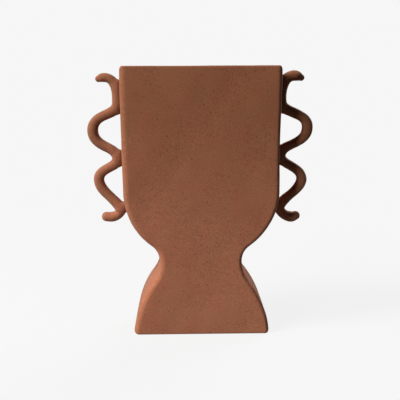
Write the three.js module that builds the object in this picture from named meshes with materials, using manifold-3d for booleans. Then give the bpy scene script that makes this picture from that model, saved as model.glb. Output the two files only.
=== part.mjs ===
// A flat vase in unglazed stoneware, built from slabs: a front and a back slab, a bent strip down
// each side, a floor, and on each side a hand-rolled coil handle that waves down the wall.
// Millimetres, +Z up, the front faces -Y. The origin is on the table under the middle of the vase.
import * as THREE from "three";
import { mergeVertices } from "three/addons/utils/BufferGeometryUtils.js";
import Module from "manifold-3d";

// Overall sizes
const height = 300;
const depth = 64;

// Clay thicknesses and the slip joint left between curved pieces
const slabWall = 6;
const stripWall = 6;
const floorWall = 7;
const slipGap = 0.3;

// Front outline: half widths, heights and radii, from the rim down
const rimHalfWidth = 86;
const sideLean = THREE.MathUtils.degToRad(0.2);
const bowlTop = 164.5;
const neckRadiusAbove = 21;
const neckHalfWidth = 46;
const neckHeight = 86.5;
const neckRadiusBelow = 41;
const footHalfWidth = 77;
const footFlare = THREE.MathUtils.degToRad(5.5);

// Softened edges
const faceRound = 5.5;
const rimRound = 2;
const lipRound = 1.6;
const footRound = 1.6;
const rimCorner = 4;
const footCorner = 4;
const leastCorner = 0.6;
const leastFlat = 0.5;

// Handles: each bend of the coil, from the horn at the top to the tail at the bottom. "out" is how far
// the coil's middle stands out from the wall, "down" its depth below the rim, "heading" the coil's
// direction there in degrees (180 inwards, 270 down, 360 outwards), "pull" how far the curve keeps to
// that direction before and after the bend, and "radius" the coil's radius.
const leftBends = [
  { name: "horn tip", out: 25.6, down: 14.8, heading: 155, pull: [0, 1], radius: 2.9 },
  { name: "horn crest", out: 17.6, down: 12.7, heading: 183, pull: [4, 9.5], radius: 4.9 },
  { name: "wall run", out: 4.5, down: 42.5, heading: 276, pull: [15, 12], radius: 6.1 },
  { name: "upper crest", out: 33.2, down: 72, heading: 266, pull: [22, 17.5], radius: 5.8 },
  { name: "upper trough", out: 5.9, down: 100.2, heading: 261, pull: [11.5, 10.5], radius: 6.1 },
  { name: "lower crest", out: 28.5, down: 126.5, heading: 267, pull: [14.5, 14], radius: 5.6 },
  { name: "lower trough", out: 8.3, down: 159.2, heading: 257, pull: [8.5, 5], radius: 6.2 },
  { name: "tail bend", out: 18.8, down: 169, heading: 364, pull: [2.5, 2.5], radius: 5.5 },
  { name: "tail tip", out: 24.8, down: 168.6, heading: 376, pull: [2, 0], radius: 5.5 },
];
const rightBends = [
  { name: "horn tip", out: 25.6, down: 14, heading: 158, pull: [0, 2], radius: 3.1 },
  { name: "horn crest", out: 17.5, down: 11.4, heading: 177, pull: [4.5, 10.5], radius: 5.2 },
  { name: "wall run", out: 3.5, down: 41, heading: 278, pull: [16, 11], radius: 6.3 },
  { name: "upper crest", out: 34.2, down: 67.7, heading: 273, pull: [16.5, 21], radius: 5.5 },
  { name: "upper trough", out: 4.5, down: 99, heading: 265, pull: [13.5, 11.5], radius: 5.6 },
  { name: "lower crest", out: 29.6, down: 128, heading: 264, pull: [16.5, 11.5], radius: 5.4 },
  { name: "lower trough", out: 8.6, down: 157.4, heading: 253, pull: [8, 6], radius: 5.9 },
  { name: "tail bend", out: 21, down: 170.4, heading: 354, pull: [6, 5.3], radius: 6.1 },
  { name: "tail tip", out: 27.4, down: 169, heading: 364, pull: [2, 0], radius: 5 },
];
const strandThinning = 0.7;

// The coil's section is a superellipse a little deeper than wide. Where the coil lies close to the wall
// it spreads in depth, and its side towards the wall is pushed out until it is pressed on.
const coilSquareness = 2.35;
const coilDepthRatio = 1.12;
const padSpread = 0.16;
const pressDepth = 0.6;
const pressReach = 4.5;
const pressFade = 2;

// Fineness of the curves
const faceRoundSteps = 4;
const lipRoundSteps = 3;
const cornerSteps = 4;
const bowlSteps = 12;
const neckSteps = 7;
const flankSteps = 9;
const stepsPerSpan = 9;
const stepsPerShortSpan = 3;
const coilSides = 16;
const tipRings = 4;
const tipQuarterTurn = 0.96;
const weldDistance = 1e-4;

const wasm = await Module();
wasm.setup();

// Outline

// The curve from the side down to the foot, on the half x > 0: a straight side, then four arcs that
// meet tangentially. The bowl's arc and the flank's arc get the radius that makes them touch the
// neck's arcs.
function tangentRadius(start, inward, centre, radius) {
  const q = start.clone().sub(centre);
  return (q.lengthSq() - radius * radius) / (2 * (radius - q.dot(inward)));
}

const sideX = (z) => rimHalfWidth - (height - z) * Math.tan(sideLean);
const bowlStart = new THREE.Vector2(sideX(bowlTop), bowlTop);
const bowlInward = new THREE.Vector2(-Math.cos(sideLean), Math.sin(sideLean));
const neckAbove = new THREE.Vector2(neckHalfWidth + neckRadiusAbove, neckHeight);
const bowlRadius = tangentRadius(bowlStart, bowlInward, neckAbove, neckRadiusAbove);
const bowlCentre = bowlStart.clone().addScaledVector(bowlInward, bowlRadius);

const footPoint = new THREE.Vector2(footHalfWidth, 0);
const flankInward = new THREE.Vector2(-Math.cos(footFlare), -Math.sin(footFlare));
const neckBelow = new THREE.Vector2(neckHalfWidth + neckRadiusBelow, neckHeight);
const flankRadius = tangentRadius(footPoint, flankInward, neckBelow, neckRadiusBelow);
const flankCentre = footPoint.clone().addScaledVector(flankInward, flankRadius);

const angleFrom = (centre, point) => Math.atan2(point.y - centre.y, point.x - centre.x);
const bowlMeetsNeck = angleFrom(bowlCentre, neckAbove);
const flankMeetsNeck = angleFrom(flankCentre, neckBelow);

// Points on an arc, both ends included.
function arc(centre, radius, from, to, steps) {
  const points = [];
  for (let i = 0; i <= steps; i++) {
    const a = from + ((to - from) * i) / steps;
    points.push(new THREE.Vector2(centre.x + radius * Math.cos(a), centre.y + radius * Math.sin(a)));
  }
  return points;
}

// The half outline from the foot up to the rim, drawn in by "side" along the flanks, "top" at the rim
// and "bottom" at the foot, with its two corners rounded.
function halfOutline(side, top, bottom) {
  const drawnIn = Math.max(side, top, bottom) / 2;
  const foot = Math.max(footCorner - drawnIn, leastCorner);
  const rim = Math.max(rimCorner - drawnIn, leastCorner);
  const flank = flankRadius - side;
  const footZ = bottom + foot;
  const footReach = Math.sqrt((flank - foot) ** 2 - (footZ - flankCentre.y) ** 2);
  const footCentre = new THREE.Vector2(flankCentre.x + footReach, footZ);
  const footEnd = angleFrom(flankCentre, footCentre);
  const rimZ = height - top - rim;
  const sideShift = side / Math.cos(sideLean);
  const rimCentre = new THREE.Vector2(sideX(rimZ) - sideShift - rim, rimZ);
  return [
    ...arc(footCentre, foot, -Math.PI / 2, footEnd, cornerSteps),
    ...arc(flankCentre, flank, footEnd, flankMeetsNeck, flankSteps).slice(1),
    ...arc(neckBelow, neckRadiusBelow + side, flankMeetsNeck + Math.PI, Math.PI, neckSteps).slice(1),
    ...arc(neckAbove, neckRadiusAbove + side, Math.PI, bowlMeetsNeck + Math.PI, neckSteps).slice(1),
    ...arc(bowlCentre, bowlRadius - side, bowlMeetsNeck, -sideLean, bowlSteps).slice(1),
    ...arc(rimCentre, rim, -sideLean, Math.PI / 2, cornerSteps),
  ];
}

const bowlEnd = bowlCentre.y + bowlRadius * Math.sin(bowlMeetsNeck);
const flankEnd = flankCentre.y + flankRadius * Math.sin(flankMeetsNeck);

// How far the wall's outer face is from the middle, at any height.
function wallX(z) {
  const across = (centre, radius) => Math.sqrt(radius ** 2 - (z - centre.y) ** 2);
  if (z >= bowlTop) return sideX(z);
  if (z >= bowlEnd) return bowlCentre.x + across(bowlCentre, bowlRadius);
  if (z >= neckHeight) return neckAbove.x - across(neckAbove, neckRadiusAbove);
  if (z >= flankEnd) return neckBelow.x - across(neckBelow, neckRadiusBelow);
  return flankCentre.x + across(flankCentre, flankRadius);
}

// How far a point beside the bowl or the side stands off the wall, square to it, and the wall's outward
// direction there.
function wallGap(point) {
  const level = new THREE.Vector2(Math.cos(sideLean), -Math.sin(sideLean));
  if (point.y >= bowlCentre.y) return { gap: (point.x - sideX(point.y)) * level.x, outward: level };
  const spoke = point.clone().sub(bowlCentre);
  return { gap: spoke.length() - bowlRadius, outward: spoke.normalize() };
}

// Geometry helpers

function geometryFrom(points, triangles) {
  const geometry = new THREE.BufferGeometry();
  geometry.setAttribute("position", new THREE.Float32BufferAttribute(points.flat(), 3));
  geometry.setIndex(triangles.flat());
  geometry.computeVertexNormals();
  return geometry;
}

// Joins a stack of equal-length rings into a closed skin; "cap" holds the triangles that close a ring.
function skin(rings, cap) {
  const count = rings[0].length;
  const triangles = [];
  for (let k = 0; k + 1 < rings.length; k++) {
    for (let i = 0; i < count; i++) {
      const a = k * count + i;
      const b = k * count + ((i + 1) % count);
      triangles.push([a, b + count, b], [a, a + count, b + count]);
    }
  }
  const last = (rings.length - 1) * count;
  for (const [a, b, c] of cap) triangles.push([a, b, c], [last + a, last + c, last + b]);
  return geometryFrom(rings.flat(), triangles);
}

function toSolid(geometry) {
  const bare = new THREE.BufferGeometry();
  bare.setAttribute("position", geometry.getAttribute("position"));
  bare.setIndex(geometry.index);
  const merged = mergeVertices(bare, weldDistance);
  const mesh = new wasm.Mesh({
    numProp: 3,
    vertProperties: merged.attributes.position.array,
    triVerts: new Uint32Array(merged.index.array),
  });
  return new wasm.Manifold(mesh);
}

function toGeometry(solid) {
  const mesh = solid.getMesh();
  const geometry = new THREE.BufferGeometry();
  geometry.setAttribute("position", new THREE.BufferAttribute(mesh.vertProperties, 3));
  geometry.setIndex(new THREE.BufferAttribute(mesh.triVerts, 1));
  return geometry;
}

// A flat profile drawn in x and z, given its thickness along y about y = 0.
function plateAcross(profile, thickness) {
  const shape = new THREE.Shape(profile.map((p) => new THREE.Vector2(p.x, p.y)));
  const geometry = new THREE.ExtrudeGeometry(shape, { depth: thickness, bevelEnabled: false });
  geometry.translate(0, 0, -thickness / 2);
  geometry.rotateX(Math.PI / 2);
  return geometry;
}

// Slabs

const sideRound = Math.min(faceRound, slabWall - leastFlat);

// How far a rounded edge draws in, at a depth measured from the face where the rounding starts.
function roundedInset(radius, depthIn) {
  if (depthIn >= radius) return 0;
  return radius - Math.sqrt(radius ** 2 - (radius - depthIn) ** 2);
}

// One layer of a slab, at a depth behind its face. The rim is softened on both sides, on the inside
// only between the side strips.
function slabLayer(depthIn, y) {
  const side = roundedInset(sideRound, depthIn);
  const top = roundedInset(rimRound, depthIn);
  const lip = roundedInset(lipRound, slabWall - depthIn);
  const right = halfOutline(side, top, roundedInset(footRound, depthIn));
  const insideX = Math.min(sideX(height) - stripWall, right[right.length - 1].x - leastFlat);
  const lipRight = [
    new THREE.Vector2(insideX, height - top),
    new THREE.Vector2(insideX - lipRound, height - top - lip),
  ];
  const half = [...right, ...lipRight];
  const mirrored = half.map((p) => new THREE.Vector2(-p.x, p.y)).reverse();
  return [...half, ...mirrored].map((p) => [p.x, y, p.y]);
}

// The flat end of a slab: bands from side to side up to the rim's corner, then a fan over the rim.
function slabCap(count) {
  const other = (i) => count - 1 - i;
  const corner = count / 2 - 3 - cornerSteps;
  const triangles = [];
  for (let i = 0; i < corner; i++) {
    triangles.push([i, i + 1, other(i + 1)], [i, other(i + 1), other(i)]);
  }
  for (let i = corner + 1; i < other(corner); i++) triangles.push([corner, i, i + 1]);
  return triangles;
}

// Depths that follow a rounding in equal turns, from its face inwards.
function roundingDepths(radius, steps) {
  return Array.from({ length: steps + 1 }, (_, k) => radius * (1 - Math.cos((Math.PI / 2) * (k / steps))));
}

function slabGeometry() {
  const fromFace = roundingDepths(sideRound, faceRoundSteps);
  const fromInside = roundingDepths(lipRound, lipRoundSteps).map((d) => slabWall - d);
  const depths = [...fromFace, ...fromInside].sort((a, b) => a - b);
  const rings = depths.map((d) => slabLayer(d, -depth / 2 + d));
  return skin(rings, slabCap(rings[0].length));
}

// Side strips and floor, which fill the space between the slabs

const insideDepth = depth - 2 * slabWall;

function stripGeometry() {
  const outer = halfOutline(0, 0, 0);
  const inner = halfOutline(stripWall, 0, 0).slice(cornerSteps + 1, -cornerSteps - 1);
  const topInner = sideX(height) - stripWall;
  const floorInner = flankCentre.x + Math.sqrt((flankRadius - stripWall) ** 2 - flankCentre.y ** 2);
  const lip = arc(
    new THREE.Vector2(topInner + lipRound, height - lipRound),
    lipRound,
    Math.PI / 2,
    Math.PI,
    cornerSteps,
  );
  const profile = [...outer, ...lip, ...inner.reverse(), new THREE.Vector2(floorInner, 0)];
  return plateAcross(profile, insideDepth);
}

function floorGeometry() {
  const reach = flankRadius - stripWall - slipGap;
  const edge = [0, 0.5, 1].map((share) => {
    const z = floorWall * share;
    return new THREE.Vector2(flankCentre.x + Math.sqrt(reach ** 2 - (z - flankCentre.y) ** 2), z);
  });
  const mirrored = edge.map((p) => new THREE.Vector2(-p.x, p.y)).reverse();
  return plateAcross([...edge, ...mirrored], insideDepth);
}

// Handles

const onHeading = (degrees) => {
  const a = THREE.MathUtils.degToRad(degrees);
  return new THREE.Vector2(Math.cos(a), Math.sin(a));
};

// The coil's middle line and radius: one cubic curve from each bend to the next. Bends below the
// lowest press point stand out from the wall at that point.
function coilStations(bends) {
  const pressZ = height - bends.find((bend) => bend.name === "lower trough").down;
  const middle = bends.map((bend) => {
    const z = height - bend.down;
    return new THREE.Vector2(wallX(Math.max(z, pressZ)) + bend.out, z);
  });
  const stations = [];
  for (let i = 0; i + 1 < bends.length; i++) {
    const curve = new THREE.CubicBezierCurve(
      middle[i],
      middle[i].clone().addScaledVector(onHeading(bends[i].heading), bends[i].pull[1]),
      middle[i + 1].clone().addScaledVector(onHeading(bends[i + 1].heading), -bends[i + 1].pull[0]),
      middle[i + 1],
    );
    const onTheWall = i > 1 && i < bends.length - 2;
    const steps = curve.getLength() < 2 * bends[i].radius ? stepsPerShortSpan : stepsPerSpan;
    for (let k = i === 0 ? 0 : 1; k <= steps; k++) {
      const t = k / steps;
      const swell = THREE.MathUtils.smoothstep(t, 0, 1);
      const thin = onTheWall ? strandThinning * Math.sin(Math.PI * t) ** 2 : 0;
      stations.push({
        at: curve.getPoint(t),
        along: curve.getTangent(t),
        radius: THREE.MathUtils.lerp(bends[i].radius, bends[i + 1].radius, swell) - thin,
      });
    }
  }
  return stations;
}

// A rounded tip: rings that shrink as a half ball, before the first station or after the last. The last
// ring stops just short of the quarter turn, so that it can be closed.
function tipStations(end, direction) {
  const rings = [];
  for (let k = 1; k <= tipRings; k++) {
    const a = (tipQuarterTurn * (Math.PI / 2) * k) / tipRings;
    const at = end.at.clone().addScaledVector(end.along, direction * end.radius * Math.sin(a));
    rings.push({ at, along: end.along, radius: end.radius * Math.cos(a) });
  }
  return rings;
}

// Sine or cosine drawn towards the corners of a squarish section.
const squared = (value) => Math.sign(value) * Math.abs(value) ** (2 / coilSquareness);

function coilRing({ at, along, radius }) {
  const { gap, outward } = wallGap(at);
  const clear = gap - radius;
  const close = 1 - THREE.MathUtils.smoothstep(clear, pressReach - pressFade, pressReach);
  const reach = Math.max(clear + pressDepth, 0) * close;
  const facing = along.y * outward.x - along.x * outward.y;
  const spread = 1 + padSpread * (1 - THREE.MathUtils.smoothstep(clear, -0.3 * radius, 0.7 * radius));
  const ring = [];
  for (let i = 0; i < coilSides; i++) {
    const a = (2 * Math.PI * i) / coilSides;
    const across = squared(Math.cos(a));
    const push = reach * THREE.MathUtils.clamp(across * facing, 0, 1);
    const x = at.x - along.y * radius * across - outward.x * push;
    const z = at.y + along.x * radius * across - outward.y * push;
    ring.push([x, radius * coilDepthRatio * spread * squared(Math.sin(a)), z]);
  }
  return ring;
}

function coilCap() {
  const triangles = [];
  for (let i = 1; i + 1 < coilSides; i++) triangles.push([0, i, i + 1]);
  return triangles;
}

// The coil is pressed on the side strip, so the wall, with the slip joint, is cut out of it.
function handleGeometry(bends, side) {
  const body = coilStations(bends);
  const stations = [
    ...tipStations(body[0], -1).reverse(),
    ...body,
    ...tipStations(body[body.length - 1], 1),
  ];
  const coil = toSolid(skin(stations.map(coilRing), coilCap()));
  const outside = halfOutline(-slipGap, 0, 0);
  const wallProfile = [new THREE.Vector2(0, 0), ...outside, new THREE.Vector2(0, height)];
  const wall = toSolid(plateAcross(wallProfile, depth));
  const geometry = toGeometry(coil.subtract(wall));
  if (side < 0) geometry.rotateZ(Math.PI);
  return geometry;
}

// Clay body colours
const faceClay = new THREE.MeshStandardMaterial({ color: 0x8a5740, roughness: 0.92, metalness: 0 });
const sideClay = new THREE.MeshStandardMaterial({ color: 0x9a6650, roughness: 0.92, metalness: 0 });
const floorClay = new THREE.MeshStandardMaterial({ color: 0x7d4f3a, roughness: 0.94, metalness: 0 });
const coilClay = new THREE.MeshStandardMaterial({ color: 0x925f48, roughness: 0.9, metalness: 0 });

// Assembly

function named(name, geometry, material) {
  const mesh = new THREE.Mesh(geometry, material);
  mesh.name = name;
  return mesh;
}

const vase = new THREE.Group();

const slabShape = slabGeometry();
const front = named("front_slab", slabShape, faceClay);
const back = named("back_slab", slabShape, faceClay);
back.rotation.z = Math.PI;
vase.add(front, back);

const stripShape = stripGeometry();
const rightStrip = named("right_side_strip", stripShape, sideClay);
const leftStrip = named("left_side_strip", stripShape, sideClay);
leftStrip.rotation.z = Math.PI;
vase.add(leftStrip, rightStrip);

vase.add(named("floor_slab", floorGeometry(), floorClay));

vase.add(named("left_handle", handleGeometry(leftBends, -1), coilClay));
vase.add(named("right_handle", handleGeometry(rightBends, 1), coilClay));

export default vase;
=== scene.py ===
"""A flat vase in matte, finely speckled stoneware: a slab-built body with a rounded bowl, a narrow neck
and a flared foot, and on each side a hand-rolled coil handle that waves down the wall."""
import math

import bpy
import numpy as np
from mathutils import Matrix, Vector


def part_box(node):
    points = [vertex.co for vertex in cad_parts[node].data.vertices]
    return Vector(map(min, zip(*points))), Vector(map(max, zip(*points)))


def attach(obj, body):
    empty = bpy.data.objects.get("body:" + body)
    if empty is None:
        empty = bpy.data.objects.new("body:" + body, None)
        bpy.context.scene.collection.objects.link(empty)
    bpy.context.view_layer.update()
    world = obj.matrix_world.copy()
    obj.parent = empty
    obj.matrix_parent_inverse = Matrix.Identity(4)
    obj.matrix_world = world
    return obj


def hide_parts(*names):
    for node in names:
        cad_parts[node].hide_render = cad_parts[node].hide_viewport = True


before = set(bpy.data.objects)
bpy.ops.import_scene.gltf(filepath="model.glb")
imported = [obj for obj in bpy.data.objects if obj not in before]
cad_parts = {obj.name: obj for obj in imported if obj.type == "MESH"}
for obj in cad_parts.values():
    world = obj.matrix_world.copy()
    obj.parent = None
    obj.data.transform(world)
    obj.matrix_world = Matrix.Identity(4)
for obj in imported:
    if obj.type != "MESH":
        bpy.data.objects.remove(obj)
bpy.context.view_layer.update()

# Units and the frame's own sizes
mm = 0.001
slab_low, slab_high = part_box("front_slab")
back_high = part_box("back_slab")[1]
floor_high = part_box("floor_slab")[1]
height = slab_high.z
half_depth = back_high.y
wall = slab_high.y - slab_low.y
floor_top = floor_high.z

# Front outline, as real sizes
rim_half_width = 86 * mm
side_lean = math.radians(0.2)
bowl_top = 164.5 * mm
neck_radius_above = 21 * mm
neck_half_width = 46 * mm
neck_height = 86.5 * mm
neck_radius_below = 41 * mm
foot_half_width = 77.3 * mm
foot_flare = math.radians(4.0)

# Upright edges of the body, outside and inside. The lean is added to the radius on the right and taken
# from it on the left, where the edges are rubbed rounder
face_round = 5.6 * mm
face_round_lean = -1.0 * mm
inside_round = 2.2 * mm

# Edges of the rim and the foot. Each is a quarter ellipse: the round is how far it goes in, and the drop
# or the rise is how tall it is. It is small on the faces, and wider and taller at the sides
rim_round_face = 1.4 * mm
rim_round_side = 2.8 * mm
rim_drop_face = 1.6 * mm
rim_drop_side = 5.2 * mm
lip_round = 1.7 * mm
foot_round_face = 1.6 * mm
foot_round_side = 3.2 * mm
foot_rise_face = 1.6 * mm
foot_rise_side = 4.8 * mm
floor_round = 4.0 * mm

# Part of the underside and of the inner floor that one flat polygon closes, as a share of their width
flat_middle = 0.25

# The hand in the body: how far the bowl and the foot drift to the right, at which height, and over
# which reach
bowl_drift = 0.8 * mm
bowl_drift_height = 165 * mm
bowl_drift_reach = 34 * mm
foot_drift = 1.0 * mm
foot_drift_height = 18 * mm
foot_drift_reach = 22 * mm

# How uneven the slabs are: long waves and a share of shorter ones, which fade out at the foot, where the
# vase stands flat. The rim dips a little here and there, and that fades out below it
slab_unevenness = 0.5 * mm
slab_long_waves = (55 * mm, 150 * mm)
slab_short_waves = (14 * mm, 40 * mm)
slab_short_share = 0.18
foot_fade = 12 * mm
rim_unevenness = 0.1 * mm
rim_waves = (24 * mm, 90 * mm)
rim_fade = 12 * mm

# Handles. Each bend says how far it is out from the wall and below the rim, its heading in degrees, its
# pull before and after the bend, and the coil's radius there
left_bends = [
    ("horn tip", 25.0, 13.8, 155, 0, 1, 3.5),
    ("horn crest", 17.4, 12.2, 183, 4, 9.5, 5.1),
    ("wall run", 4.7, 40.8, 275, 14.5, 15, 6.1),
    ("upper crest", 33.4, 72, 266, 22, 17.5, 6.0),
    ("upper trough", 6.8, 100.4, 261, 13.2, 12.2, 6.0),
    ("lower crest", 28.7, 125.8, 267, 14.5, 14, 5.9),
    ("lower trough", 9.0, 160.2, 257, 9.5, 5, 6.2),
    ("tail bend", 20.2, 168.8, 364, 4, 2.5, 5.6),
    ("tail tip", 25.7, 168.4, 374, 2, 0, 5.3),
]
right_bends = [
    ("horn tip", 25.1, 13.4, 158, 0, 2, 3.75),
    ("horn crest", 17.7, 11.1, 176, 4.5, 10.5, 5.7),
    ("wall run", 3.5, 41, 278, 16, 11, 6.3),
    ("upper crest", 34.1, 67.1, 273, 16.5, 21, 5.8),
    ("upper trough", 4.8, 98.8, 265, 14, 12, 5.7),
    ("lower crest", 29.5, 127.6, 264, 16.5, 11.5, 5.7),
    ("lower trough", 8.6, 157.4, 253, 8, 6, 5.9),
    ("tail bend", 21, 170.4, 354, 6, 5.3, 6.1),
    ("tail tip", 27.4, 169, 364, 2, 0, 5),
]

# The coil's section: a squarish oval, deeper than it is wide. It thins along each strand between two
# bends, apart from those that start at the bends named here
coil_squareness = 2.35
coil_depth = 1.12
strand_thinning = 0.6 * mm
full_strands = ("horn tip", "horn crest", "tail bend")

# The coil's rings and points, and how its two tips are closed
span_steps = 120
coil_step = 0.8 * mm
coil_softening = 2.2 * mm
coil_points = 48
tip_rings = 8
tip_crowding = 0.8
tip_flat = 0.02

# Pressed on the wall: within how many radii the coil spreads and by which share, how deep it is pressed
# and how far its side is pushed out to meet the wall, the fillet of slip, and how far the painted shade in
# the crease beside it reaches
pressed_within = 1.7
pad_spread = 0.16
press_depth = 0.6 * mm
press_reach = 4.5 * mm
press_fade = 2 * mm
slip_fillet = 1.6 * mm
slip_spread = 0.55
crease_shade_reach = 2.2 * mm

# The hand in the coils: they wander in depth where they are free, and are uneven all over
coil_wander = 0.9 * mm
wander_waves = (40 * mm, 90 * mm)
wander_free_at = 30 * mm
coil_unevenness = 0.22 * mm
coil_waves = (9 * mm, 26 * mm)


# Outline


def tangent_radius(start, inward, centre, radius):
    """Radius of the arc that leaves start, with its centre along inward, and touches a circle outside
    it. From |start + r * inward - centre| = r + radius, which is linear in r."""
    q = start - centre
    return (q @ q - radius**2) / (2 * (radius - q @ inward))


def side_x(z):
    """Half width of the straight side: the rim's half width less a steady lean."""
    return rim_half_width - (height - z) * math.tan(side_lean)


def angle_from(centre, point):
    """Direction of a point as seen from a centre."""
    return math.atan2(point[1] - centre[1], point[0] - centre[0])


bowl_start = np.array([side_x(bowl_top), bowl_top])
bowl_inward = np.array([-math.cos(side_lean), math.sin(side_lean)])
neck_above = np.array([neck_half_width + neck_radius_above, neck_height])
bowl_radius = tangent_radius(bowl_start, bowl_inward, neck_above, neck_radius_above)
bowl_centre = bowl_start + bowl_inward * bowl_radius
bowl_meets_neck = angle_from(bowl_centre, neck_above)

foot_point = np.array([foot_half_width, 0.0])
flank_inward = np.array([-math.cos(foot_flare), -math.sin(foot_flare)])
neck_below = np.array([neck_half_width + neck_radius_below, neck_height])
flank_radius = tangent_radius(foot_point, flank_inward, neck_below, neck_radius_below)
flank_centre = foot_point + flank_inward * flank_radius
flank_meets_neck = angle_from(flank_centre, neck_below)


def half_width(z, inset):
    """Half width at height z of the outline drawn in by inset: the leaning side, then the arcs of the
    bowl, the neck from above, the neck from below and the flank, each taken between the heights at
    which it touches the next. On an arc it is the centre's x plus or minus the root of r² - dz²."""
    z, inset = np.broadcast_arrays(z, inset)

    def across(centre, radius):
        return np.sqrt(np.maximum(radius**2 - (z - centre[1]) ** 2, 0))

    bowl = bowl_radius - inset
    flank = flank_radius - inset
    side_ends = bowl_centre[1] - bowl * math.sin(side_lean)
    bowl_ends = bowl_centre[1] + bowl * math.sin(bowl_meets_neck)
    flank_ends = flank_centre[1] + flank * math.sin(flank_meets_neck)
    return np.select(
        [z >= side_ends, z >= bowl_ends, z >= neck_height, z >= flank_ends],
        [
            side_x(z) - inset / math.cos(side_lean),
            bowl_centre[0] + across(bowl_centre, bowl),
            neck_above[0] - across(neck_above, neck_radius_above + inset),
            neck_below[0] - across(neck_below, neck_radius_below + inset),
        ],
        flank_centre[0] + across(flank_centre, flank),
    )


def drift(z):
    """Sideways drift of the hand-built body: one bell curve about the bowl and one about the foot."""
    bowl = bowl_drift * np.exp(-(((z - bowl_drift_height) / bowl_drift_reach) ** 2))
    foot = foot_drift * np.exp(-(((z - foot_drift_height) / foot_drift_reach) ** 2))
    return bowl + foot


# Shared by the body and the coils


def waves(points, shortest, longest, seed, count=14):
    """Gentle unevenness from -1 to 1, about: sine waves in random directions, with wavelengths between
    the shortest and the longest, added and divided by twice the root of half their number."""
    rng = np.random.default_rng(seed)
    directions = rng.normal(size=(count, 3))
    directions /= np.linalg.norm(directions, axis=1, keepdims=True)
    lengths = rng.uniform(shortest, longest, count)
    phases = rng.uniform(0, 2 * math.pi, count)
    turns = 2 * math.pi * points @ (directions / lengths[:, None]).T + phases
    return np.sin(turns).sum(axis=-1) / (2 * math.sqrt(count / 2))


def smooth(t):
    """Smooth step from 0 to 1: 3t² - 2t³, held at its ends."""
    t = np.clip(t, 0, 1)
    return t * t * (3 - 2 * t)


def grid_normals(grid):
    """Unit normals of a grid of points that closes on itself along its second axis: the cross product
    of the differences to the next points along the ring and across the rings."""
    along_ring = np.roll(grid, -1, axis=1) - np.roll(grid, 1, axis=1)
    across = np.gradient(grid, axis=0)
    normals = np.cross(along_ring, across)
    shortest = 1e-12
    return normals / np.maximum(np.linalg.norm(normals, axis=2, keepdims=True), shortest)


def ring_mesh(name, grid, first_closed, last_closed):
    """A mesh from a grid of rings: quads between neighbouring rings, and a flat polygon over an end."""
    rings, count = grid.shape[:2]
    ring, point = np.meshgrid(np.arange(rings - 1), np.arange(count), indexing="ij")
    here = ring * count + point
    beside = ring * count + (point + 1) % count
    faces = np.stack([here, beside, beside + count, here + count], axis=2).reshape(-1, 4).tolist()
    if first_closed:
        faces.append(list(range(count))[::-1])
    if last_closed:
        faces.append([(rings - 1) * count + n for n in range(count)])
    mesh = bpy.data.meshes.new(name)
    mesh.from_pydata(grid.reshape(-1, 3).tolist(), [], faces)
    mesh.polygons.foreach_set("use_smooth", np.ones(len(mesh.polygons), bool))
    mesh.update()
    piece = bpy.data.objects.new(name, mesh)
    bpy.context.scene.collection.objects.link(piece)
    return piece


def point_attribute(piece, name, values):
    """One number for each point of a piece, which its material reads."""
    attribute = piece.data.attributes.new(name, "FLOAT", "POINT")
    attribute.data.foreach_set("value", np.ascontiguousarray(values, dtype=np.float32).ravel())


# Body


def section_ring(side_points, corner_points, face_points):
    """Where each point of the body's section lies: the angle turned at its corner, 0 on a side and 90
    degrees on a face, and its place across and in depth, each from -1 to 1."""
    quarter = np.linspace(0, math.pi / 2, corner_points + 1)
    side = np.linspace(-1, 1, side_points + 1)[1:-1]
    face = np.linspace(1, -1, face_points + 1)[1:-1]
    flat = np.full(face.size, math.pi / 2)
    upright = np.zeros(side.size)
    angle = np.concatenate([upright, quarter, flat, quarter[::-1]])
    across = np.concatenate([np.ones(side.size + quarter.size), face, -np.ones(quarter.size)])
    deep = np.concatenate([side, np.ones(quarter.size + face.size + quarter.size)])
    return (
        np.concatenate([angle, angle]),
        np.concatenate([across, -across]),
        np.concatenate([deep, -deep]),
    )


def body_profile():
    """The path that the section is carried along, from under the foot, up the outside, over the rim and
    down the inside to the floor: for each step a stage, and how far along that stage it is."""
    stages = [
        ("underside", flat_middle, 7),
        ("foot edge", 0, 6),
        ("outside", 0, 170),
        ("rim edge", 0, 8),
        ("rim top", 0, 3),
        ("lip", 0, 6),
        ("inside", 0, 110),
        ("floor edge", 0, 6),
        ("floor", 0, 7),
    ]
    return [(name, t) for name, start, steps in stages for t in np.linspace(start, 1, steps + 1)[:-1]]


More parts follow.
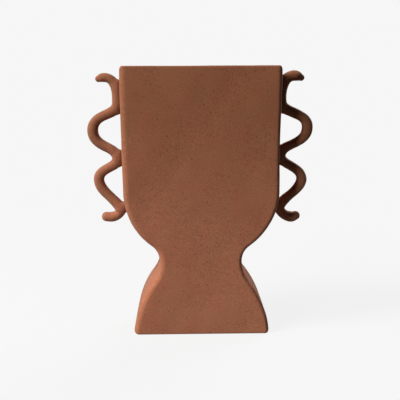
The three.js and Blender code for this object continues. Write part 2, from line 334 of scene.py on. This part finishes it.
def body_rings():
    """The body as a grid of points. A section is a rounded rectangle whose half width is the outline at
    that height and whose half depth is fixed. It is drawn in by "inset" all round and carried along the
    body's profile. The edges of the rim and the foot are quarter ellipses in inset and height, which
    grow from the faces' measures to the sides' with the square of the corner angle's cosine; the lip and
    the floor's edge are quarter circles."""
    angle, across, deep = section_ring(side_points=26, corner_points=9, face_points=66)
    on_face = np.sin(angle) ** 2
    rim_round = rim_round_side + (rim_round_face - rim_round_side) * on_face
    rim_drop = rim_drop_side + (rim_drop_face - rim_drop_side) * on_face
    foot_round = foot_round_side + (foot_round_face - foot_round_side) * on_face
    foot_rise = foot_rise_side + (foot_rise_face - foot_rise_side) * on_face
    rows = []
    inside = []
    for stage, t in body_profile():
        shrink = 1.0
        turn = t * math.pi / 2
        if stage == "underside":
            inset = foot_round
            z = np.zeros_like(angle)
            shrink = t
        elif stage == "foot edge":
            inset = foot_round * (1 - math.sin(turn))
            z = foot_rise * (1 - math.cos(turn))
        elif stage == "outside":
            inset = np.zeros_like(angle)
            z = foot_rise + (height - rim_drop - foot_rise) * t
        elif stage == "rim edge":
            inset = rim_round * (1 - math.cos(turn))
            z = height - rim_drop * (1 - math.sin(turn))
        elif stage == "rim top":
            inset = rim_round + (wall - lip_round - rim_round) * t
            z = np.full_like(angle, height)
        elif stage == "lip":
            inset = np.full_like(angle, wall - lip_round * (1 - math.sin(turn)))
            z = np.full_like(angle, height - lip_round * (1 - math.cos(turn)))
        elif stage == "inside":
            inset = np.full_like(angle, wall)
            z = np.full_like(angle, height - lip_round + (floor_top + floor_round - height + lip_round) * t)
        elif stage == "floor edge":
            inset = np.full_like(angle, wall + floor_round * (1 - math.cos(turn)))
            z = np.full_like(angle, floor_top + floor_round * (1 - math.sin(turn)))
        else:
            inset = np.full_like(angle, wall + floor_round)
            z = np.full_like(angle, floor_top)
            shrink = 1 - (1 - flat_middle) * t
        corner = np.maximum(face_round + face_round_lean * across - inset, inside_round)
        turned_in = corner * (1 - np.cos(angle))
        x = across * half_width(z, inset + turned_in)
        straight = half_depth - inset - corner
        y = np.where(angle > 0, np.sign(deep) * (straight + corner * np.sin(angle)), deep * straight)
        rows.append(np.stack([x * shrink + drift(z), y * shrink, z], axis=1))
        inside.append(np.full(angle.size, float(stage in ("lip", "inside", "floor edge", "floor"))))
    return np.array(rows), np.array(inside)


def make_body(clay):
    """The fired body: one skin over the slabs, side strips and floor. Each point moves level along its
    normal by the slabs' waves, and near the rim down by the rim's."""
    grid, inside = body_rings()
    level = grid_normals(grid) * [1, 1, 0]
    stands = smooth(grid[..., 2] / foot_fade)
    long_waves = waves(grid, *slab_long_waves, seed=11)
    short_waves = waves(grid, *slab_short_waves, seed=12)
    uneven = slab_unevenness * long_waves + slab_short_share * slab_unevenness * short_waves
    grid = grid + level * (stands * uneven)[..., None]
    near_rim = smooth((grid[..., 2] - height + rim_fade) / rim_fade)
    wobble = waves(grid * [1, 1, 0], *rim_waves, seed=13)
    grid[..., 2] += rim_unevenness * near_rim * (wobble - 1)
    piece = ring_mesh("vase_body", grid, first_closed=True, last_closed=True)
    point_attribute(piece, "glazed", inside)
    piece.data.materials.append(clay)
    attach(piece, "root")
    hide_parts("front_slab", "back_slab", "left_side_strip", "right_side_strip", "floor_slab")
    return piece


# Handles


def wall_distance(x, z):
    """How far points are outside the wall, square to it, and the wall's outward direction there: beside
    the straight side it is the leaning plane's, and below that the bowl's arc about its centre."""
    beside = (x - side_x(z)) * math.cos(side_lean)
    from_centre = np.hypot(x - bowl_centre[0], z - bowl_centre[1])
    on_side = z >= bowl_centre[1]
    distance = np.where(on_side, beside, from_centre - bowl_radius)
    out_x = np.where(on_side, math.cos(side_lean), (x - bowl_centre[0]) / from_centre)
    out_z = np.where(on_side, -math.sin(side_lean), (z - bowl_centre[1]) / from_centre)
    return distance, out_x, out_z


def coil_middle(bends):
    """The coil's middle line and radius: cubic curves from each bend to the next, which keep each bend's
    heading for its pull. The radius swells smoothly between bends, tapers as a bullet does towards the
    horn's tip, and thins along the free strands."""
    press_z = height - next(bend[2] for bend in bends if bend[0] == "lower trough") * mm
    at, heading, before, after, radius = [], [], [], [], []
    for name, out, down, degrees, pull_before, pull_after, coil_radius in bends:
        z = height - down * mm
        wall_x = float(half_width(max(z, press_z), 0.0))
        at.append((wall_x + out * mm, z))
        heading.append((math.cos(math.radians(degrees)), math.sin(math.radians(degrees))))
        before.append(pull_before * mm)
        after.append(pull_after * mm)
        radius.append(coil_radius * mm)
    at = np.array(at)
    heading = np.array(heading)
    t = np.linspace(0, 1, span_steps, endpoint=False)[:, None]
    points = []
    radii = []
    for i in range(len(bends) - 1):
        a, d = at[i], at[i + 1]
        b = a + heading[i] * after[i]
        c = d - heading[i + 1] * before[i + 1]
        points.append((1 - t) ** 3 * a + 3 * (1 - t) ** 2 * t * b + 3 * (1 - t) * t**2 * c + t**3 * d)
        thin = 0 if bends[i][0] in full_strands else strand_thinning * np.sin(math.pi * t[:, 0]) ** 2
        swell = smooth(t[:, 0]) if i else 1 - (1 - t[:, 0]) ** 2
        radii.append(radius[i] + (radius[i + 1] - radius[i]) * swell - thin)
    points.append(at[-1:])
    radii.append(np.array([radius[-1]]))
    return np.concatenate(points), np.concatenate(radii)


def evenly(points, radii, step, softening):
    """The middle line and radius again in equal steps, softened along their length by a bell curve. Both
    are carried on past their ends by a half turn about them, so the ends stay where they are."""
    run = np.concatenate([[0], np.cumsum(np.linalg.norm(np.diff(points, axis=0), axis=1))])
    s = np.linspace(0, run[-1], int(run[-1] / step) + 1)
    rows = np.stack([np.interp(s, run, v) for v in (points[:, 0], points[:, 1], radii)], axis=1)
    bell_reach = 4
    reach = int(bell_reach * softening / step)
    offsets = np.arange(-reach, reach + 1) * step
    bell = np.exp(-((offsets / softening) ** 2) / 2)
    bell /= bell.sum()
    before = 2 * rows[0] - rows[reach:0:-1]
    after = 2 * rows[-1] - rows[-2 : -reach - 2 : -1]
    padded = np.concatenate([before, rows, after])
    soft = np.stack([np.convolve(padded[:, k], bell, "valid") for k in range(3)], axis=1)
    return soft[:, :2], soft[:, 2]


def coil_path(bends):
    """The rings of the coil: where the middle of each is, its heading, its radius, and the factor on its
    section, which is 1 along the coil and falls as a quarter circle over the two rounded tips."""
    middle, radius = evenly(*coil_middle(bends), step=coil_step, softening=coil_softening)
    along = np.gradient(middle, axis=0)
    along /= np.linalg.norm(along, axis=1, keepdims=True)
    turn = np.linspace(0, 1, tip_rings + 1)[1:] ** tip_crowding * math.pi / 2
    first = middle[0] - along[0] * radius[0] * np.sin(turn[::-1, None])
    last = middle[-1] + along[-1] * radius[-1] * np.sin(turn[:, None])
    shrink = np.concatenate([np.cos(turn[::-1]), np.ones(len(middle)), np.cos(turn)])
    middle = np.concatenate([first, middle, last])
    along = np.pad(along, ((tip_rings, tip_rings), (0, 0)), mode="edge")
    radius = np.pad(radius, tip_rings, mode="edge")
    return middle, along, radius, np.maximum(shrink, tip_flat)


def coil_surface(bends, seed):
    """The coil as a grid of rings: a squarish oval section, whose power is the coil's squareness, is
    carried along the middle line square to it. Where the coil is pressed on the wall the section
    spreads, and its side towards the wall is pushed out until it meets the wall."""
    middle, along, radius, shrink = coil_path(bends)
    gap, wall_x, wall_z = wall_distance(middle[:, 0], middle[:, 1])
    pressed = smooth((pressed_within * radius - gap) / radius)
    angle = np.linspace(0, 2 * math.pi, coil_points, endpoint=False)
    oval = 2 / coil_squareness
    over = np.sign(np.cos(angle)) * np.abs(np.cos(angle)) ** oval
    back = np.sign(np.sin(angle)) * np.abs(np.sin(angle)) ** oval
    across = (radius * shrink)[:, None] * over
    deep = (coil_depth * radius * shrink * (1 + pad_spread * pressed))[:, None] * back
    free = smooth(gap / wander_free_at)
    line = np.stack([middle[:, 0], np.zeros(len(middle)), middle[:, 1]], axis=1)
    wander = coil_wander * waves(line, *wander_waves, seed=seed) * free
    grid = np.stack(
        [
            middle[:, :1] - along[:, 1:] * across,
            deep + wander[:, None],
            middle[:, 1:] + along[:, :1] * across,
        ],
        axis=2,
    )
    clear = gap - radius
    reach = np.maximum(clear + press_depth, 0) * smooth((press_reach - clear) / press_fade)
    toward = along[:, 1] * wall_x - along[:, 0] * wall_z
    push = (reach * shrink)[:, None] * np.clip(over * toward[:, None], 0, 1)
    grid[..., 0] -= push * wall_x[:, None]
    grid[..., 2] -= push * wall_z[:, None]
    normals = grid_normals(grid)
    bumps = coil_unevenness * waves(grid, *coil_waves, seed=seed + 1)
    grid = grid + normals * (bumps * np.minimum(shrink, 1)[:, None])[..., None]
    return slip_joint(grid, normals)


def slip_joint(grid, normals):
    """The coil's skin next to the wall: it flares along the wall as a small fillet of slip, with the
    square of how near it is, and the second result, the share of painted shade in the crease, is 1 in the
    crease there and 0 away from it."""
    distance, out_x, out_z = wall_distance(grid[..., 0], grid[..., 2])
    into = normals[..., 0] * out_x + normals[..., 2] * out_z
    beside = normals - np.stack([into * out_x, np.zeros_like(into), into * out_z], axis=2)
    flare = slip_spread * slip_fillet * np.clip(1 - distance / slip_fillet, 0, 1) ** 2
    crease = smooth(1 - distance / crease_shade_reach)
    return grid + beside * flare[..., None], crease


def make_handle(name, cad_node, bends, side, seed, clay):
    """One coil handle. The left one is the same making turned to the other side, so its ring order is
    turned too, which keeps its faces outwards."""
    grid, crease = coil_surface(bends, seed)
    if side > 0:
        grid = grid[:, ::-1]
        crease = crease[:, ::-1]
    grid = grid * [side, 1, 1]
    piece = ring_mesh(name, grid, first_closed=True, last_closed=True)
    # The share of painted shade in the crease beside the wall, which the coil's material reads
    point_attribute(piece, "crease", crease)
    piece.data.materials.append(clay)
    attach(piece, "root")
    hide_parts(cad_node)
    return piece


# Materials

# The clay's lighter and darker tone. The coils are a little greyer than the slabs
slab_tones = (0.322, 0.1195, 0.061), (0.286, 0.1047, 0.0531)
coil_tones = (0.312, 0.1195, 0.064), (0.275, 0.1045, 0.0552)

# The mottling: the share of its broad noise, the rest being a finer one, and the levels at which it is
# darkest and lightest. The patches of ochre and the sandy grain: levels of their noise, each with the
# factor on the colour there
mottle_share = 0.65
darkest_at = 0.34
lightest_at = 0.66
ochre_drift = [(0.4, (1.01, 0.98, 0.99)), (0.6, (0.99, 1.03, 1.0))]
sandy_grain = [(0.3, (0.70, 0.69, 0.68)), (0.5, (1, 1, 1)), (0.7, (1.29, 1.31, 1.33))]

# Roughness of the bare clay, from the hollows of its lumps to their tops
lump_levels = (0.3, 0.7)
clay_roughness = (0.66, 0.78)

# Painted light: the clay is painted lighter towards the foot, standing in for light that the floor bounces
# up at it. The factor on the clay's colour, the height at which it sets in and the height at which it is
# full
painted_foot_light = (1.5, 1.52, 1.6)
foot_light_from = 270 * mm
foot_light_full = 50 * mm

# Specks in the clay: cells a metre, share of cells with a speck, and size as a share of a cell
dark_specks = (300, 0.2, 0.30)
pale_specks = (360, 0.08, 0.26)
dark_speck_tone = (0.30, 0.22, 0.20)
pale_speck_tone = (0.48, 0.24, 0.15)
dark_speck_strength = 0.45
pale_speck_strength = 0.25
speck_core = 0.45

# The crease beside a pressed coil is painted darker as painted shade, and the inside under its thin clear
# glaze is darker
painted_crease_shade = (0.62, 0.42, 0.34)
painted_crease_shade_strength = 0.35
glaze_tone = (0.72, 0.62, 0.56)
glaze_strength = 0.6
glaze_roughness = 0.3

# Relief: shares of the grain, the lumps and the pits, and its depth
grain_relief = 0.8
lump_relief = 1.2
pit_relief = -0.5
relief_strength = 0.5
relief_depth = 0.25 * mm


def node(tree, kind, inputs=None, **settings):
    """Adds a shader node with its settings, its constant inputs and its links."""
    made = tree.nodes.new(kind)
    for key, value in settings.items():
        setattr(made, key, value)
    for key, value in (inputs or {}).items():
        if isinstance(value, bpy.types.NodeSocket):
            tree.links.new(value, made.inputs[key])
        else:
            made.inputs[key].default_value = value
    return made


def empty_tree(owner):
    """The node tree of a material or world, with nothing in it."""
    owner.use_nodes = True
    owner.node_tree.nodes.clear()
    return owner.node_tree


def ramp(tree, factor, stops):
    """A colour ramp over a factor, from (place, colour) stops."""
    made = node(tree, "ShaderNodeValToRGB", {"Fac": factor})
    elements = made.color_ramp.elements
    while len(elements) < len(stops):
        elements.new(0.5)
    for element, (place, colour) in zip(elements, stops):
        element.position = place
        element.color = (*colour, 1)
    return made.outputs["Color"]


def blend(tree, kind, factor, a, b):
    """Mixes two colours by a blend mode. Sockets 0, 6 and 7 are the factor and the two colours."""
    made = node(tree, "ShaderNodeMix", data_type="RGBA", blend_type=kind)
    for index, value in ((0, factor), (6, a), (7, b)):
        if isinstance(value, bpy.types.NodeSocket):
            tree.links.new(value, made.inputs[index])
        else:
            made.inputs[index].default_value = value if index == 0 else (*value, 1)
    return made.outputs[2]


def maths(tree, operation, a, b):
    """One step of arithmetic on numbers."""
    return node(tree, "ShaderNodeMath", {0: a, 1: b}, operation=operation).outputs[0]


def remap(tree, value, low, high, at_low, at_high, interpolation="LINEAR"):
    """A number carried from one range to another, and held at the ends."""
    sockets = {0: value, 1: low, 2: high, 3: at_low, 4: at_high}
    return node(tree, "ShaderNodeMapRange", sockets, interpolation_type=interpolation).outputs[0]


def noise(tree, where, scale, detail, roughness=0.5):
    """Soft noise at a number of waves a metre."""
    inputs = {"Vector": where, "Scale": scale, "Detail": detail, "Roughness": roughness}
    return node(tree, "ShaderNodeTexNoise", inputs).outputs["Fac"]


def specks(tree, where, scale, share, size):
    """Scattered round specks: 1 inside a speck, 0 outside. Only a share of the cells has a speck."""
    cells = node(tree, "ShaderNodeTexVoronoi", {"Vector": where, "Scale": scale, "Randomness": 1.0})
    pick = node(tree, "ShaderNodeSeparateColor", {"Color": cells.outputs["Color"]}).outputs[0]
    chosen = maths(tree, "LESS_THAN", pick, share)
    near = remap(tree, cells.outputs["Distance"], size, size * speck_core, 0.0, 1.0, "SMOOTHSTEP")
    return maths(tree, "MULTIPLY", near, chosen)


def attribute_number(tree, name):
    """The number that a piece carries on its points under a name."""
    return node(tree, "ShaderNodeAttribute", attribute_name=name).outputs["Fac"]


def stoneware(name, tones, crease_shade_attribute=None, glaze_attribute=None):
    """Matte iron-rich stoneware: slow mottling between two tones with a slight drift towards ochre,
    painted lighter towards the foot as painted bounce light from the floor, with a fine sandy grain,
    scattered darker and a few paler specks, and a bump of grain, low lumps and shallow pits. Painted
    darker in creases as painted shade, and darker and smoother where glazed."""
    light, dark = tones
    material = bpy.data.materials.new(name)
    tree = empty_tree(material)
    where = node(tree, "ShaderNodeTexCoord").outputs["Object"]

    mottle = noise(tree, where, scale=14, detail=4, roughness=0.55)
    cloud = noise(tree, where, scale=70, detail=3, roughness=0.6)
    slow = maths(tree, "MULTIPLY", mottle, mottle_share)
    quick = maths(tree, "MULTIPLY", cloud, 1 - mottle_share)
    colour = ramp(tree, maths(tree, "ADD", slow, quick), [(darkest_at, dark), (lightest_at, light)])
    patches = noise(tree, where, scale=48, detail=2)
    colour = blend(tree, "MULTIPLY", 1.0, colour, ramp(tree, patches, ochre_drift))

    # Painted bounce light: the clay's colour is raised towards the foot
    level = node(tree, "ShaderNodeSeparateXYZ", {0: where}).outputs["Z"]
    foot_lit = remap(tree, level, foot_light_from, foot_light_full, 0.0, 1.0, "SMOOTHSTEP")
    colour = blend(tree, "MULTIPLY", foot_lit, colour, painted_foot_light)

    grain = noise(tree, where, scale=900, detail=3, roughness=0.7)
    colour = blend(tree, "MULTIPLY", 1.0, colour, ramp(tree, grain, sandy_grain))
    iron = specks(tree, where, *dark_specks)
    grog = specks(tree, where, *pale_specks)
    iron_share = maths(tree, "MULTIPLY", iron, dark_speck_strength)
    grog_share = maths(tree, "MULTIPLY", grog, pale_speck_strength)
    colour = blend(tree, "MULTIPLY", iron_share, colour, dark_speck_tone)
    colour = blend(tree, "MIX", grog_share, colour, pale_speck_tone)

    rough = remap(tree, cloud, *lump_levels, *clay_roughness)
    # Painted shade: the clay is darkened in the crease beside a pressed coil
    if crease_shade_attribute:
        near = maths(tree, "MULTIPLY", attribute_number(tree, crease_shade_attribute), painted_crease_shade_strength)
        colour = blend(tree, "MULTIPLY", near, colour, painted_crease_shade)
    if glaze_attribute:
        glazed = attribute_number(tree, glaze_attribute)
        covered = maths(tree, "MULTIPLY", glazed, glaze_strength)
        colour = blend(tree, "MULTIPLY", covered, colour, glaze_tone)
        rough = remap(tree, glazed, 0.0, 1.0, rough, glaze_roughness)

    pits = maths(tree, "MULTIPLY", iron, pit_relief)
    fine = maths(tree, "ADD", maths(tree, "MULTIPLY", grain, grain_relief), pits)
    lumps = maths(tree, "MULTIPLY", cloud, lump_relief)
    relief = maths(tree, "ADD", fine, lumps)
    bump_inputs = {"Height": relief, "Strength": relief_strength, "Distance": relief_depth}
    bump = node(tree, "ShaderNodeBump", bump_inputs)
    shader = node(
        tree,
        "ShaderNodeBsdfPrincipled",
        {
            "Base Color": colour,
            "Roughness": rough,
            "Normal": bump.outputs[0],
            "Specular IOR Level": 0.02,
            "Sheen Weight": 0.4,
            "Sheen Roughness": 0.4,
            "Sheen Tint": (1.0, 0.92, 0.85, 1),
        },
    )
    node(tree, "ShaderNodeOutputMaterial", {"Surface": shader.outputs[0]})
    return material


# Stage

# The backdrop's tone, and the light that the room itself sends: none, the lamps do it all
backdrop_tone = (0.922, 0.922, 0.922, 1)
room_light = 0.0

# The floor: its paint for the eye, its paint for the light that it sends up, and its radius. Up to the
# reach it shows its shading share of its own light and shade and is a touch paler than the backdrop, and
# from there to the end it turns into the backdrop's tone
floor_paint = 0.743
floor_bounce = 0.16
floor_radius = 0.75
floor_rings = 12
floor_points = 96
floor_shading = 0.1
floor_lift = 1.006
floor_shading_reach = 0.3
floor_shading_end = 0.6

lamp_distance = 2.6


def seen_ray(tree):
    """1 for what the camera sees, directly, mirrored or through glass, and 0 for light on its way."""
    path = node(tree, "ShaderNodeLightPath")
    seen = maths(tree, "MAXIMUM", path.outputs["Is Camera Ray"], path.outputs["Is Glossy Ray"])
    return maths(tree, "MAXIMUM", seen, path.outputs["Is Transmission Ray"])


def floor_material():
    """A pale floor that keeps the object's shadow: near the vase it shows part of its own shading, and
    further out it turns into the even tone of the backdrop, for the camera and in reflections. It sends
    less light up at the vase than a white one would, so the sides turned away stay in shade."""
    material = bpy.data.materials.new("pale_floor")
    tree = empty_tree(material)
    seen = seen_ray(tree)
    tone = remap(tree, seen, 0.0, 1.0, floor_bounce, floor_paint)
    paint = node(tree, "ShaderNodeBsdfDiffuse", {"Color": tone})
    where = node(tree, "ShaderNodeTexCoord").outputs["Object"]
    distance = node(tree, "ShaderNodeVectorMath", {0: where}, operation="LENGTH").outputs["Value"]

    def outwards(near, far):
        return remap(tree, distance, floor_shading_reach, floor_shading_end, near, far, "SMOOTHSTEP")

    even_light = {"Color": backdrop_tone, "Strength": outwards(floor_lift, 1.0)}
    even = node(tree, "ShaderNodeEmission", even_light)
    share = maths(tree, "MULTIPLY", outwards(1 - floor_shading, 1.0), seen)
    mixed = node(tree, "ShaderNodeMixShader", {0: share, 1: paint.outputs[0], 2: even.outputs[0]})
    node(tree, "ShaderNodeOutputMaterial", {"Surface": mixed.outputs[0]})
    return material


def make_floor():
    """A round floor, as a flat disc of rings whose radius grows from nothing to the floor's. The rings
    run clockwise, so that its faces look up."""
    radius = floor_radius * np.linspace(0, 1, floor_rings + 1)[1:, None]
    angle = np.linspace(2 * math.pi, 0, floor_points, endpoint=False)
    level = np.zeros((floor_rings, floor_points))
    grid = np.stack([radius * np.cos(angle), radius * np.sin(angle), level], axis=2)
    floor = ring_mesh("pale_floor", grid, first_closed=True, last_closed=False)
    floor.data.materials.append(floor_material())


def make_backdrop():
    """A pale even room behind everything. It is seen, directly and in reflections, and lights nothing."""
    world = bpy.data.worlds.new("pale_room")
    tree = empty_tree(world)
    shown = node(tree, "ShaderNodeBackground", {"Color": backdrop_tone, "Strength": 1.0})
    light = node(tree, "ShaderNodeBackground", {"Color": (1, 1, 1, 1), "Strength": room_light})
    either = {0: seen_ray(tree), 1: light.outputs[0], 2: shown.outputs[0]}
    mixed = node(tree, "ShaderNodeMixShader", either)
    node(tree, "ShaderNodeOutputWorld", {"Surface": mixed.outputs[0]})
    bpy.context.scene.world = world


def from_vase(azimuth, elevation, distance):
    """A place at a distance from the middle of the vase: azimuth 0 is straight out to its left and grows
    towards the front, and elevation 0 is level with its middle."""
    turn = math.radians(azimuth)
    rise = math.radians(elevation)
    level = distance * math.cos(rise)
    return (-level * math.cos(turn), -level * math.sin(turn), height / 2 + distance * math.sin(rise))


def area_light(name, azimuth, elevation, width, tall, power):
    """A soft white rectangular lamp, turned to the middle of the vase."""
    lamp = bpy.data.lights.new(name, "AREA")
    lamp.shape = "RECTANGLE"
    lamp.size = width
    lamp.size_y = tall
    lamp.energy = power
    place = from_vase(azimuth, elevation, lamp_distance)
    middle = (0, 0, height / 2)
    holder = bpy.data.objects.new(name, lamp)
    holder.location = place
    holder.rotation_euler = (Vector(middle) - Vector(place)).to_track_quat("-Z", "Y").to_euler()
    holder.visible_camera = False
    bpy.context.scene.collection.objects.link(holder)


def make_lights():
    """A tall soft key high on the left, a little in front, a weak fill from the front left, and a broad
    weak one behind on the right, which keeps the back and the right side readable."""
    area_light("key_left", azimuth=21, elevation=46, width=0.7, tall=1.3, power=79)
    area_light("fill_front_left", azimuth=45, elevation=16, width=0.4, tall=0.4, power=26)
    area_light("fill_behind", azimuth=-128, elevation=32, width=2.0, tall=1.0, power=50)


def make_camera():
    """A pinhole view from the front, a little to the left and above, turned in and down to the vase."""
    yaw = math.radians(0.89)
    pitch = math.radians(12.09)
    roll = math.radians(-0.28)
    place = (-23.44 * mm, -700 * mm, 300 * mm)
    focal_pixels = 627.8
    frame_pixels = 400
    left_pixels = 11.0
    sensor_width = 36.0
    ahead = Vector((math.sin(yaw) * math.cos(pitch), math.cos(yaw) * math.cos(pitch), -math.sin(pitch)))
    level = Vector((math.cos(yaw), -math.sin(yaw), 0))
    upright = level.cross(ahead)
    right = math.cos(roll) * level + math.sin(roll) * upright
    up = math.cos(roll) * upright - math.sin(roll) * level
    lens = bpy.data.cameras.new("photo_camera")
    lens.sensor_width = sensor_width
    lens.lens = focal_pixels / frame_pixels * sensor_width
    lens.shift_x = left_pixels / frame_pixels
    camera = bpy.data.objects.new("photo_camera", lens)
    turned = Matrix((right, up, -ahead)).transposed().to_4x4()
    camera.matrix_world = Matrix.Translation(place) @ turned
    bpy.context.scene.collection.objects.link(camera)
    bpy.context.scene.camera = camera


make_camera()
make_floor()
make_backdrop()
make_lights()
body_clay = stoneware("slab_clay", slab_tones, glaze_attribute="glazed")
# The coils' material darkens the crease beside the wall as painted shade
coil_clay = stoneware("coil_clay", coil_tones, crease_shade_attribute="crease")
make_body(body_clay)
make_handle("left_coil", "left_handle", left_bends, side=-1, seed=21, clay=coil_clay)
make_handle("right_coil", "right_handle", right_bends, side=1, seed=31, clay=coil_clay)

bpy.context.scene.view_settings.view_transform = "Standard"
